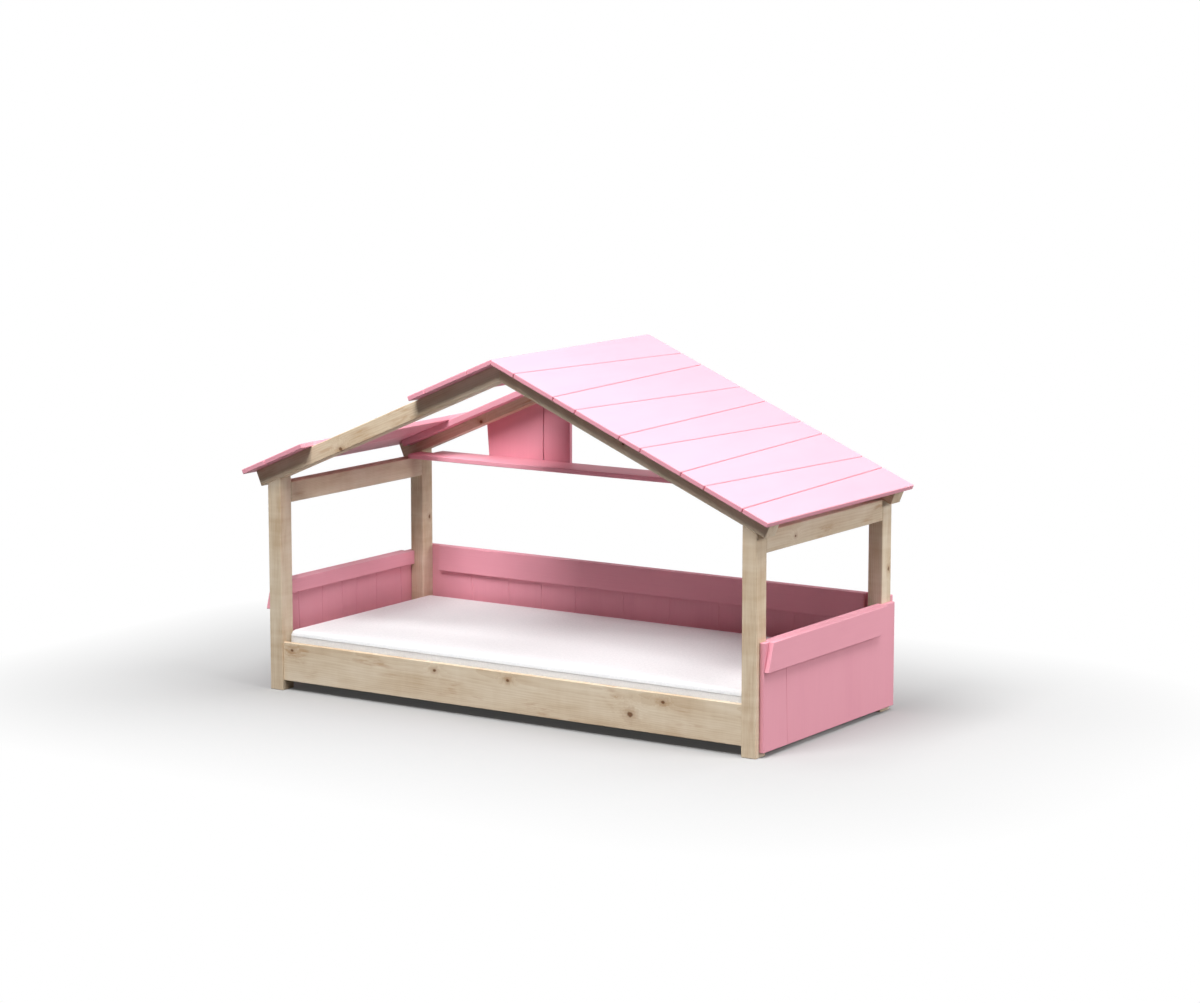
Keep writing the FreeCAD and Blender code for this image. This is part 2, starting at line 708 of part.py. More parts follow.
# ---------------------------------------------------------------------------------------------
# Check every object and write each finished piece
# ---------------------------------------------------------------------------------------------
doc.recompute()
for item in doc.Objects:
    if {"Invalid", "Error"} & set(item.State):
        raise RuntimeError(f"{item.Label} is {item.State}")
os.makedirs("parts", exist_ok=True)
for piece in finished:
    shape = piece.Shape
    if shape.isNull() or not shape.isValid() or not shape.Solids:
        raise RuntimeError(f"{piece.Label} has no sound solid")
    shape.exportStep(os.path.join("parts", f"{piece.Label}.step"))
    print(f"{piece.Label}: {len(shape.Solids)} solid, {shape.Volume / 1000:.1f} cm3")
print(f"{len(finished)} pieces written")
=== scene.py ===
# %% [markdown]
# # House frame bed
#
# The bed is a low wooden box on four posts, with a pitched board roof over it like a small house.
# The joinery is already modelled at its real size, and this script dresses it: timber, pink lacquer,
# the white mattress and the small fixings. The frame comes first, because every piece made here sits
# on it.

# %% Load the joinery
import math
import random

import bmesh
import bpy
from mathutils import Euler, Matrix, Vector


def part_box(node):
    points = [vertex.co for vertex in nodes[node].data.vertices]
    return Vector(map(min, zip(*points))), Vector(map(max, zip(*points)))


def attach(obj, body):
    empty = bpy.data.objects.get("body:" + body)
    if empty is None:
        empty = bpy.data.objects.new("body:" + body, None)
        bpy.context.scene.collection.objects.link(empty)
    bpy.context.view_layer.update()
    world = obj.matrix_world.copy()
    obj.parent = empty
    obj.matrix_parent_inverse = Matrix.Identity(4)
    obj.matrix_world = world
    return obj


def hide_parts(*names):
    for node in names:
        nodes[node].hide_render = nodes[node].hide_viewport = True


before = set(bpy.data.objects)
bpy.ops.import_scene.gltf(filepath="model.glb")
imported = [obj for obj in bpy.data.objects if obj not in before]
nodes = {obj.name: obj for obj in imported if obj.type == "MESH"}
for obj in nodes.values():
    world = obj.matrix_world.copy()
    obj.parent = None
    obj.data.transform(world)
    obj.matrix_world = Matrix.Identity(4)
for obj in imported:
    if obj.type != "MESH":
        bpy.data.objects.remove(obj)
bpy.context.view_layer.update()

# %% [markdown]
# ## Camera
#
# A long lens, far away and a little above the floor, keeps the posts upright and shows the front, the
# head end and the slope of the roof at once. The camera is placed by a point that it looks at, the
# angle round that point, the height angle and the distance, because each of them can then be corrected
# alone against the reference view.

# %% Camera
LOOKS_AT = Vector((0.1275, -0.0107, 0.7563))
AROUND = math.radians(33.2735)
ABOVE = math.radians(8.81015)
DISTANCE = 12.1296
LENS_MM = 99.604
SENSOR_MM = 36.0

towards_camera = Vector((
    math.sin(AROUND) * math.cos(ABOVE),
    -math.cos(AROUND) * math.cos(ABOVE),
    math.sin(ABOVE),
))
camera_data = bpy.data.cameras.new("camera")
camera_data.lens = LENS_MM
camera_data.sensor_width = SENSOR_MM
camera_data.clip_end = 100.0
camera = bpy.data.objects.new("camera", camera_data)
camera.location = LOOKS_AT + towards_camera * DISTANCE
camera.rotation_euler = (-towards_camera).to_track_quat("-Z", "Y").to_euler()
bpy.context.scene.collection.objects.link(camera)
bpy.context.scene.camera = camera
bpy.context.scene.view_settings.view_transform = "Standard"
print(f"camera {DISTANCE:.2f} m away with a {LENS_MM:.1f} mm lens")


# %% [markdown]
# ## Small helpers for node trees
#
# Every finish here is a node tree, and most of a tree is the same few moves: add a node, set what it
# holds, and join sockets. Two short helpers keep each finish readable. `add` makes a node and sets its
# plain values, and `maths` makes one step of arithmetic.

# %% Node helpers
def add(tree, kind, inputs=None, **settings):
    """Adds a node. Inputs may be plain values or the sockets that feed them."""
    node = tree.nodes.new(kind)
    for key, value in settings.items():
        setattr(node, key, value)
    for key, value in (inputs or {}).items():
        if isinstance(value, bpy.types.NodeSocket):
            tree.links.new(value, node.inputs[key])
        else:
            node.inputs[key].default_value = value
    return node


def maths(tree, operation, first, second=0.0, clamp=False):
    """One step of arithmetic on numbers; gives the socket of the result."""
    node = add(tree, "ShaderNodeMath", {0: first, 1: second}, operation=operation, use_clamp=clamp)
    return node.outputs[0]


def vectors(tree, operation, first, second, output=0):
    """One step of arithmetic on vectors; gives the socket of the result."""
    return add(tree, "ShaderNodeVectorMath", {0: first, 1: second}, operation=operation).outputs[output]


def ramp(tree, factor, stops):
    """A colour ramp from (position, colour) pairs."""
    node = add(tree, "ShaderNodeValToRGB", {0: factor})
    while len(node.color_ramp.elements) < len(stops):
        node.color_ramp.elements.new(0.5)
    for element, (position, colour) in zip(node.color_ramp.elements, stops):
        element.position = position
        element.color = (*colour, 1.0)
    return node.outputs[0]


def span(tree, value, low, high, to_low=0.0, to_high=1.0, smooth=False):
    """Maps a range of numbers to another."""
    node = add(
        tree, "ShaderNodeMapRange",
        {0: value, 1: low, 2: high, 3: to_low, 4: to_high},
        interpolation_type="SMOOTHSTEP" if smooth else "LINEAR",
    )
    return node.outputs[0]


def blend_colours(tree, factor, first, second, kind="MIX"):
    """Mixes two colours, each a socket or a plain (r, g, b)."""
    node = tree.nodes.new("ShaderNodeMix")
    node.data_type = "RGBA"
    node.blend_type = kind
    for socket, value in ((node.inputs[0], factor), (node.inputs[6], first), (node.inputs[7], second)):
        if isinstance(value, bpy.types.NodeSocket):
            tree.links.new(value, socket)
        elif socket == node.inputs[0]:
            socket.default_value = value
        else:
            socket.default_value = (*value, 1.0)
    return node.outputs[2]


def colour(red, green, blue):
    """A colour as read off a screen, 0 to 255, in the linear light that shaders use."""
    parts = [value / 255 for value in (red, green, blue)]
    return tuple(p / 12.92 if p <= 0.04045 else ((p + 0.055) / 1.055) ** 2.4 for p in parts)


def new_material(name):
    """An empty node material with its output, and the tree to build in."""
    material = bpy.data.materials.new(name)
    material.use_nodes = True
    material.node_tree.nodes.clear()
    return material, material.node_tree


def finish_material(tree, shader):
    """Joins a shader to the output."""
    out = tree.nodes.new("ShaderNodeOutputMaterial")
    tree.links.new(shader.outputs[0], out.inputs[0])


def dress(node_name, material):
    """Gives a joinery node its finish through the material slots."""
    piece = nodes[node_name]
    if not piece.material_slots:
        piece.data.materials.append(material)
    for place in piece.material_slots:
        place.material = material


print("helpers ready")

# %% [markdown]
# ## Studio
#
# The bed stands in a white sweep with no visible horizon. The floor is one large sheet of paper, and the
# world behind it is plain white to the camera and in reflections, so the two run into each other. The
# light that the world really sheds is a dome, weak at the horizon and stronger overhead, because the
# inside of the bed has to stay in the shade of its roof. For the same reason the paper throws back less
# light than it shows. The paper fades to plain white with the distance from the bed, which also thins out
# the far part of the shadow. Close to the bed it glows very faintly, so that the gap under the rail is
# dark grey and not black.

# %% World and floor
HORIZON_LEVEL = 0.10
ZENITH_LEVEL = 0.50
DOME_EDGE = (0.62, 0.92)
FLOOR_HALF = 30.0
FLOOR_SHOWN = 0.40
FLOOR_SHED = 0.22
BED_HALF = (1.10, 0.50, 0.0)
FLOOR_GLOW = 0.04
FADE_STARTS, FADE_ENDS = 0.0, 1.25


def shown_rays(tree):
    """1 for rays that end in the picture or a reflection, 0 for the rays that carry light about."""
    rays = tree.nodes.new("ShaderNodeLightPath")
    seen = maths(tree, "MAXIMUM", rays.outputs["Is Camera Ray"], rays.outputs["Is Glossy Ray"])
    return maths(tree, "MAXIMUM", seen, rays.outputs["Is Transmission Ray"])


world = bpy.data.worlds.new("studio")
bpy.context.scene.world = world
world.use_nodes = True
sky = world.node_tree
sky.nodes.clear()
direction = add(sky, "ShaderNodeTexCoord").outputs["Generated"]
upward = add(sky, "ShaderNodeSeparateXYZ", {0: direction}).outputs[2]
dome = span(sky, upward, *DOME_EDGE, HORIZON_LEVEL, ZENITH_LEVEL, smooth=True)
seen = shown_rays(sky)
level = maths(sky, "ADD", maths(sky, "MULTIPLY", dome, maths(sky, "SUBTRACT", 1.0, seen)), seen)
background = add(sky, "ShaderNodeBackground", {"Color": (1.0, 1.0, 1.0, 1.0), "Strength": level})
world_out = sky.nodes.new("ShaderNodeOutputWorld")
sky.links.new(background.outputs[0], world_out.inputs[0])

floor_mesh = bpy.data.meshes.new("floor")
floor_corners = [(-1, -1), (1, -1), (1, 1), (-1, 1)]
floor_mesh.from_pydata([(FLOOR_HALF * x, FLOOR_HALF * y, 0) for x, y in floor_corners], [], [(0, 1, 2, 3)])
floor = bpy.data.objects.new("floor", floor_mesh)
bpy.context.scene.collection.objects.link(floor)
floor_finish, tree = new_material("studio_paper")
seen = shown_rays(tree)
paper = add(tree, "ShaderNodeBsdfDiffuse", {"Color": span(tree, seen, 0.0, 1.0, FLOOR_SHED, FLOOR_SHOWN)})
white = add(tree, "ShaderNodeEmission", {"Strength": span(tree, seen, 0.0, 1.0, HORIZON_LEVEL, 1.0)})
across = vectors(tree, "ABSOLUTE", add(tree, "ShaderNodeTexCoord").outputs["Object"], (0, 0, 0))
beyond = vectors(tree, "MAXIMUM", vectors(tree, "SUBTRACT", across, BED_HALF), (0, 0, 0))
away = vectors(tree, "LENGTH", beyond, (0, 0, 0), output=1)
fade = span(tree, away, FADE_STARTS, FADE_ENDS)
# Painted light: near the bed the floor glows faintly to camera and reflection rays, which lifts the shade in
# the gap under the rail from black to dark grey.
glow = add(tree, "ShaderNodeEmission", {"Strength": maths(tree, "MULTIPLY", seen, FLOOR_GLOW)})
near = add(tree, "ShaderNodeAddShader", {0: paper.outputs[0], 1: glow.outputs[0]})
sweep = add(tree, "ShaderNodeMixShader", {0: fade, 1: near.outputs[0], 2: white.outputs[0]})
finish_material(tree, sweep)
floor.data.materials.append(floor_finish)
print("world and floor ready")

# %% [markdown]
# ## Lamps
#
# Nearly all the light comes steeply from above. A large lamp high in front of the bed lights the rails
# and the posts, and reaches the front half of the mattress, but the roof keeps it off the back panel.
# One over the foot end looks in through the open stretch of the roof. Two on the head side light the
# outside of the head panel: the high one throws the shadow under the panel's cap and is kept out of the
# inside by the roof, and the low one fills that shadow. A weak one behind keeps the
# back from going dark, and stands to one side so that the roof doesn't mirror it at the camera.

# %% Lamps
def soft_lamp(name, place, aims_at, size, power):
    """A square soft lamp that looks at a point."""
    lamp = bpy.data.lights.new(name, "AREA")
    lamp.shape = "SQUARE"
    lamp.size = size
    lamp.energy = power
    holder = bpy.data.objects.new(name, lamp)
    holder.location = place
    holder.rotation_euler = (Vector(aims_at) - Vector(place)).to_track_quat("-Z", "Y").to_euler()
    bpy.context.scene.collection.objects.link(holder)
    return holder


soft_lamp("front_lamp", (0.3, -3.6, 5.5), (0.0, 0.0, 0.5), 2.5, 400)
soft_lamp("skylight_lamp", (-1.0, -1.0, 6.2), (-0.6, 0.0, 0.5), 1.6, 85)
soft_lamp("head_lamp_high", (3.3, -0.6, 5.8), (0.6, 0.0, 0.3), 2.2, 200)
soft_lamp("head_lamp_low", (6.2, 1.0, 2.8), (0.6, 0.0, 0.3), 2.0, 150)
soft_lamp("back_lamp", (2.8, 4.8, 2.6), (0.0, 0.0, 0.4), 2.4, 80)
print("five lamps")

# %% [markdown]
# ## Timber
#
# The frame is solid pale wood with clear knots, sanded and lightly oiled. Real grain is what is left of
# the tree's growth rings when a beam is sawn out of the log, so the finish is made that way round: rings
# about a pith line that runs beside the beam, slightly out of true. The long faces then get arches and
# stripes and the ends get curved rings, and all of them meet at the edges. A beam's own grain line is
# turned onto X by a Mapping node, and each beam has its own pith, so no two look alike. Knots are
# branches that cross the beam: round them the rings are pushed aside, and the middle is dark.

# %% Timber finish
PITCH = math.atan2(0.527, 1.2414)
OAK = {
    "pale": colour(228, 213, 191),
    "plain": colour(216, 197, 171),
    "dark": colour(199, 174, 144),
    "streak": colour(182, 142, 104),
}
KNOT_CORE = colour(108, 70, 44)
KNOT_RIM = colour(168, 128, 92)
RING_WAVES_PER_UNIT = 20.0
RING_SHARE, FIBRE_SHARE, CLOUD_SHARE = 0.10, 0.22, 0.62
TONE_REACH = 0.16

TURN_TO_X = {
    "x": Euler((0, 0, 0)),
    "y": Euler((0, 0, -math.pi / 2)),
    "z": Euler((0, math.pi / 2, 0)),
    "up_slope": Euler((0, PITCH, 0)),
    "down_slope": Euler((0, -PITCH, 0)),
}


def along_grain(tree, centre, grain, pith=(0.0, 0.0), lean=(0.0, 0.0)):
    """Object coordinates turned so that the grain runs along X, with the pith line as the axis."""
    turn = Euler((0, *lean)).to_matrix() @ TURN_TO_X[grain].to_matrix()
    shift = turn @ -Vector(centre) + Vector((0.0, *pith))
    where = add(tree, "ShaderNodeTexCoord")
    return add(
        tree, "ShaderNodeMapping",
        {"Vector": where.outputs["Object"], "Location": shift, "Rotation": turn.to_euler()},
    ).outputs[0]


def noise(tree, place, stretch, detail=3.0, roughness=0.55):
    """A noise whose grains are 1/stretch metres long on each axis."""
    stretched = add(tree, "ShaderNodeMapping", {"Vector": place, "Scale": stretch}).outputs[0]
    return add(
        tree, "ShaderNodeTexNoise",
        {"Vector": stretched, "Scale": 1.0, "Detail": detail, "Roughness": roughness},
    ).outputs[0]


def knot_masks(tree, here, grain, knots):
    """Dark middle, paler rim and outward push of a beam's knots, each as one socket."""
    core, rim, push = [], [], []
    squeeze = {"x": (0.75, 1, 1), "y": (1, 0.75, 1), "z": (1, 1, 0.75)}.get(grain, (0.8, 1, 0.95))
    uneven = span(tree, noise(tree, here, (70, 70, 70)), 0.25, 0.75, 0.7, 1.35)
    for spot, face, radius in knots:
        flat = [0.0 if axis == face else part for axis, part in zip("xyz", squeeze)]
        offset = vectors(tree, "MULTIPLY", vectors(tree, "SUBTRACT", here, spot), flat)
        far = maths(tree, "MULTIPLY", vectors(tree, "LENGTH", offset, (0, 0, 0), output=1), uneven)
        core.append(span(tree, far, radius * 0.45, radius * 1.0, 1.0, 0.0, smooth=True))
        rim.append(span(tree, far, radius * 0.8, radius * 3.0, 1.0, 0.0, smooth=True))
        push.append(span(tree, far, 0.0, radius * 6.0, radius * 1.4, 0.0, smooth=True))
    joined = []
    for masks in (core, rim, push):
        whole = masks[0]
        for mask in masks[1:]:
            whole = maths(tree, "MAXIMUM", whole, mask)
        joined.append(whole)
    return joined


def timber(
    name, centre, grain, seed, knots=(), ring=0.0055, colours=OAK,
    curl=0.1, streaky=0.6, painted_light_scale=1.0,
):
    """Solid wood sawn out of a log: centre is the beam's middle, a knot is (place, face, radius)."""
    draw = random.Random(seed)
    # Painted light and shade: a beam's colours are scaled paler where light falls on it and darker where it
    # stands in shade.
    colours = {key: tuple(part * painted_light_scale for part in value) for key, value in colours.items()}
    material, tree = new_material(name)
    pith = (draw.choice((-1, 1)) * draw.uniform(0.06, 0.14), draw.choice((-1, 1)) * draw.uniform(0.05, 0.12))
    lean = (draw.uniform(-0.01, 0.01), draw.uniform(-0.01, 0.01))
    place = along_grain(tree, centre, grain, pith, lean)
    here = add(tree, "ShaderNodeTexCoord").outputs["Object"]
    if knots:
        core, rim, push = knot_masks(tree, here, grain, knots)
        sideways = add(tree, "ShaderNodeCombineXYZ", {1: push, 2: push}).outputs[0]
        place = vectors(tree, "ADD", place, sideways)

    rings = add(
        tree, "ShaderNodeTexWave",
        {
            "Vector": place,
            "Scale": 2 * math.pi / (RING_WAVES_PER_UNIT * ring),
            "Distortion": 6.0,
            "Detail": 2.0,
            "Detail Scale": 0.05,
            "Phase Offset": draw.uniform(0, 6),
        },
        wave_type="RINGS", rings_direction="X", wave_profile="SAW",
    ).outputs["Fac"]
    fibres = noise(tree, place, (6.0, 300.0, 300.0), 3.0, 0.6)
    clouds = noise(tree, place, (3.0, 16.0, 16.0))
    bands = noise(tree, place, (34.0, 5.0, 5.0), 2.0)
    streaks = noise(tree, place, (12.0, 75.0, 75.0), 3.0, 0.6)
    stained = span(tree, noise(tree, place, (5.0, 14.0, 14.0), 1.0), 0.50, 0.64, 0.0, 1.0, smooth=True)

    tone = maths(tree, "MULTIPLY", rings, RING_SHARE)
    for layer, share in ((fibres, FIBRE_SHARE), (clouds, CLOUD_SHARE), (bands, curl)):
        tone = maths(tree, "ADD", tone, maths(tree, "MULTIPLY", layer, share))
    middle_tone = (RING_SHARE + FIBRE_SHARE + CLOUD_SHARE + curl) / 2
    shade = ramp(
        tree, span(tree, tone, middle_tone - TONE_REACH, middle_tone + TONE_REACH),
        [(0.0, colours["pale"]), (0.5, colours["plain"]), (1.0, colours["dark"])],
    )
    streak_mask = maths(tree, "MULTIPLY", span(tree, streaks, 0.46, 0.66, 0.0, streaky), stained)
    shade = blend_colours(tree, streak_mask, shade, colours["streak"])
    if knots:
        shade = blend_colours(tree, maths(tree, "MULTIPLY", rim, 0.42), shade, KNOT_RIM)
        shade = blend_colours(tree, maths(tree, "MULTIPLY", core, 0.9), shade, KNOT_CORE)

    relief = maths(tree, "ADD", maths(tree, "MULTIPLY", rings, -0.4), fibres)
    bump = add(tree, "ShaderNodeBump", {"Strength": 0.12, "Distance": 0.0008, "Height": relief})
    shader = add(
        tree, "ShaderNodeBsdfPrincipled",
        {
            "Base Color": shade,
            "Roughness": span(tree, tone, middle_tone - 0.2, middle_tone + 0.2, 0.5, 0.66),
            "Normal": bump.outputs[0],
            "IOR": 1.45,
            "Specular IOR Level": 0.3,
        },
    )
    finish_material(tree, shader)
    return material


def middle_of(node_name):
    """The middle of a joinery node's box."""
    low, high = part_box(node_name)
    return (low + high) / 2


# %% Timber on the frame
FRONT_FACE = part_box("side_rail_front")[0].y
KNOTS = {
    "side_rail_front": [
        ((-0.963, FRONT_FACE, 0.156), "y", 0.0075),
        ((-0.303, FRONT_FACE, 0.154), "y", 0.007),
        ((0.021, FRONT_FACE, 0.155), "y", 0.007),
        ((0.680, FRONT_FACE, 0.153), "y", 0.0075),
        ((0.544, FRONT_FACE, 0.093), "y", 0.0125),
    ],
    "rafter_front_foot": [((-0.714, 0.0, 0.938), "y", 0.009)],
    "rafter_back_foot": [((-0.716, 0.0, 0.941), "y", 0.008)],
    "post_back_foot": [((0.0, 0.477, 0.536), "x", 0.008)],
    "post_back_head": [((0.0, 0.479, 0.525), "x", 0.008)],
    "side_rail_back": [((-0.41, 0.0, 0.12), "y", 0.008), ((0.62, 0.0, 0.09), "y", 0.006)],
    "rafter_front_head": [((0.52, 0.0, 1.05), "y", 0.006)],
    "rafter_back_head": [((0.35, 0.0, 1.12), "y", 0.007)],
    "crossbar_head": [((0.0, -0.2, 0.74), "x", 0.006)],
}
BEAMS = {
    "post_front_foot": "z", "post_front_head": "z", "post_back_foot": "z", "post_back_head": "z",
    "side_rail_front": "x", "side_rail_back": "x", "end_rail_foot": "y", "end_rail_head": "y",
    "crossbar_foot": "y", "crossbar_head": "y",
    "rafter_front_foot": "up_slope", "rafter_back_foot": "up_slope",
    "rafter_front_head": "down_slope", "rafter_back_head": "down_slope",
    "slat_ledge_front": "x", "slat_ledge_back": "x",
}
# Painted light and shade: each listed beam's wood is made up to 4% paler or darker the way light and shade fall
# on the bed, the foot crossbar under the roof darkest and the front foot rafter palest.
PAINTED_LIGHT_AND_SHADE = {
    "side_rail_front": 1.03, "post_front_head": 1.03, "rafter_front_foot": 1.04, "post_front_foot": 0.97,
    "rafter_back_foot": 0.97, "post_back_head": 0.98, "crossbar_foot": 0.96,
}
for number, (beam, grain) in enumerate(BEAMS.items()):
    curl, streaky = (0.3, 0.25) if grain == "z" else (0.1, 0.6)
    finish = timber(
        f"timber_{beam}", middle_of(beam), grain, 40 + number, KNOTS.get(beam, ()),
        curl=curl, streaky=streaky, painted_light_scale=PAINTED_LIGHT_AND_SHADE.get(beam, 1.0),
    )
    dress(beam, finish)
print(f"{len(BEAMS)} beams dressed in timber")

# %% [markdown]
# ## Slats and dowels
#
# The slats under the mattress are thin softwood, yellower and straighter in the grain than the frame.
# The dowels are beech. Both use the same sawn-wood finish with their own colours and finer rings.

# %% Slats and dowels
PINE = {
    "pale": colour(238, 220, 186),
    "plain": colour(228, 204, 164),
    "dark": colour(206, 174, 126),
    "streak": colour(188, 148, 98),
}
BEECH = {
    "pale": colour(224, 196, 164),
    "plain": colour(210, 178, 142),
    "dark": colour(186, 150, 114),
    "streak": colour(166, 126, 90),
}
slats = sorted(name for name in nodes if name.startswith("bed_slat_"))
for number, slat in enumerate(slats):
    dress(slat, timber(f"pine_{slat}", middle_of(slat), "y", 80 + number, ring=0.004, colours=PINE))
dress("frame_dowels", timber("beech_dowels", (0, 0, 0), "y", 7, ring=0.002, colours=BEECH))
print(f"{len(slats)} slats and the dowels dressed")

# %% [markdown]
# ## Pink lacquer
#
# The boards are sprayed with a satin pink lacquer that is thin enough for the wood's lines to show as
# faint ridges along each board. The colour is nearly even, a little paler on the ridges and deeper in
# the pores, and no two boards took exactly the same coat. The lines run along the board, so each board
# names its direction, and the finish reads the same turned coordinates as the timber.

# %% Lacquer finish
PINK_PALE = colour(234, 163, 178)
PINK = colour(231, 159, 174)
PINK_DEEP = colour(226, 153, 169)


def lacquer(name, centre, grain, seed):
    """Satin lacquer over a wooden board."""
    draw = random.Random(seed)
    material, tree = new_material(name)
    place = along_grain(tree, centre, grain, (draw.uniform(0.1, 3.0), draw.uniform(0.1, 3.0)))
    ridges = noise(tree, place, (4.0, 420.0, 420.0), 3.0, 0.6)
    hairs = noise(tree, place, (22.0, 1300.0, 1300.0), 2.0)
    cloud = noise(tree, place, (3.0, 9.0, 9.0), 2.0)
    tone = maths(tree, "ADD", maths(tree, "MULTIPLY", ridges, 0.6), maths(tree, "MULTIPLY", cloud, 0.4))
    tone = maths(tree, "ADD", tone, draw.uniform(-0.05, 0.05))
    shade = ramp(tree, tone, [(0.25, PINK_DEEP), (0.5, PINK), (0.75, PINK_PALE)])
    relief = maths(tree, "ADD", ridges, maths(tree, "MULTIPLY", hairs, 0.4))
    bump = add(tree, "ShaderNodeBump", {"Strength": 0.10, "Distance": 0.0006, "Height": relief})
    shader = add(
        tree, "ShaderNodeBsdfPrincipled",
        {
            "Base Color": shade,
            "Roughness": span(tree, ridges, 0.3, 0.7, 0.48, 0.6),
            "Normal": bump.outputs[0],
            "IOR": 1.5,
            "Specular IOR Level": 0.3,
        },
    )
    finish_material(tree, shader)
    return material


# %% Lacquer on the boards
BOARDS = {
    "gable_shelf": "x", "gable_board_1": "z", "gable_board_2": "z",
    "panel_back": "z", "panel_foot": "z", "panel_head": "z",
    "cap_back_inner": "x", "cap_foot_inner": "y", "cap_foot_outer": "y",
    "cap_head_inner": "y", "cap_head_outer": "y",
    "roof_batten_front_foot": "up_slope", "roof_batten_back_foot": "up_slope",
    "roof_batten_front_head": "down_slope", "roof_batten_back_head": "down_slope",
}
BOARDS.update({name: "y" for name in sorted(nodes) if name.startswith("roof_board_")})
for number, (board, grain) in enumerate(BOARDS.items()):
    dress(board, lacquer(f"lacquer_{board}", middle_of(board), grain, 200 + number))
print(f"{len(BOARDS)} boards lacquered")

# %% [markdown]
# ## Zinc-plated steel
#
# Bolts, barrel nuts and screws are zinc-plated: a cool, slightly cloudy metal. The cloud is a soft noise
# in the roughness, with a faint turned texture in the bump.

# %% Steel finish
ZINC = colour(196, 198, 200)
ZINC_DULL = colour(168, 170, 174)


def zinc_steel():
    """Plated steel for the fixings."""
    material, tree = new_material("zinc_steel")
    here = add(tree, "ShaderNodeTexCoord").outputs["Object"]
    cloud = add(tree, "ShaderNodeTexNoise", {"Vector": here, "Scale": 140.0, "Detail": 3.0}).outputs[0]
    shade = ramp(tree, cloud, [(0.3, ZINC_DULL), (0.7, ZINC)])
    rough = span(tree, cloud, 0.3, 0.7, 0.28, 0.45)
    bump = add(tree, "ShaderNodeBump", {"Strength": 0.1, "Distance": 0.0002, "Height": cloud})
    shader = add(
        tree, "ShaderNodeBsdfPrincipled",
        {"Base Color": shade, "Roughness": rough, "Normal": bump.outputs[0], "Metallic": 0.95},
    )
    finish_material(tree, shader)
    return material


steel = zinc_steel()
for fixing in ("bed_bolts", "barrel_nuts", "rafter_screws"):
    dress(fixing, steel)
print("fixings dressed")

# %% [markdown]
# ## Mattress
#
# The mattress is a block of foam in a white cover. The cover has three parts: a top cloth, a band round
# the side and a bottom cloth, sewn together along two seams. Sewn tight over foam, such a cover rounds
# the top edge, is drawn in at each seam and swells a little between them, and the top is crowned. All
# of that follows a rule, so the mesh is one ring of points round the plan, repeated down the profile,
# with rings that shrink towards the middle of the top and of the bottom.
#
# Two small unevennesses keep it from looking machined. The seam thread gathers the cloth, so the cover
# puckers beside each seam and the pucker dies away within a few centimetres. The top sags and rises by
# a millimetre or so over long distances, as foam does.

# %% Mattress shape
low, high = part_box("mattress")
middle = (low + high) / 2
HALF_LONG = (high.x - low.x) / 2 - 0.0005
HALF_WIDE = (high.y - low.y) / 2 - 0.0005
BOTTOM = low.z + 0.0004
TOP = high.z + 0.0045
TOP_SEAM = high.z - 0.0195
BOTTOM_SEAM = low.z + 0.018
PLAN_CORNER = 0.03
TOP_ROUND = 0.022
BOTTOM_ROUND = 0.012
CROWN = 0.0035
SEAM_DEPTH = 0.0011
BELLY = 0.0012
PUCKER = 0.0002
PUCKER_PITCH = 0.031
ROUND_STEPS = 8
LONG_STEPS = 240
WIDE_STEPS = 108
LIP_INSET = 0.0006
LOW_SEAM_REACH, TOP_SEAM_REACH = 0.0022, 0.0024
BAND_STEPS = ((0.12, 0.6), (0.22, 0.35), (0.36, 0.1), (0.5, 0.0), (0.64, 0.1), (0.78, 0.35), (0.88, 0.6))
BOTTOM_RINGS = (0.40, 0.25, 0.12, 0.05)
TOP_RINGS = (0.012, 0.03, 0.055, 0.09, 0.13, 0.18, 0.24, 0.30, 0.36, 0.41)


def plan_ring(inset):
    """Points round the plan at an inset: (place, outward direction, distance along the edge)."""
    corner = max(PLAN_CORNER - inset, 0.004)
    reach_x, reach_y = HALF_LONG - inset - corner, HALF_WIDE - inset - corner
    ring, walked = [], 0.0
    for side, (cx, cy) in enumerate([(1, 1), (-1, 1), (-1, -1), (1, -1)]):
        start = math.radians(90 * side)
        for step in range(ROUND_STEPS + 1):
            turn = start + math.radians(90) * step / ROUND_STEPS
            out = Vector((math.cos(turn), math.sin(turn)))
            ring.append((Vector((cx * reach_x, cy * reach_y)) + out * corner, out, walked))
            walked += PLAN_CORNER * math.radians(90) / ROUND_STEPS
        following = [(-1, 1), (-1, -1), (1, -1), (1, 1)][side]
        target = Vector((following[0] * reach_x, following[1] * reach_y)) + out * corner
        origin = ring[-1][0]
        pieces = LONG_STEPS if side % 2 == 0 else WIDE_STEPS
        length = 2 * (HALF_LONG if side % 2 == 0 else HALF_WIDE) - 2 * PLAN_CORNER
        for step in range(1, pieces):
            ring.append((origin.lerp(target, step / pieces), out, walked + length * step / pieces))
        walked += length
    return ring


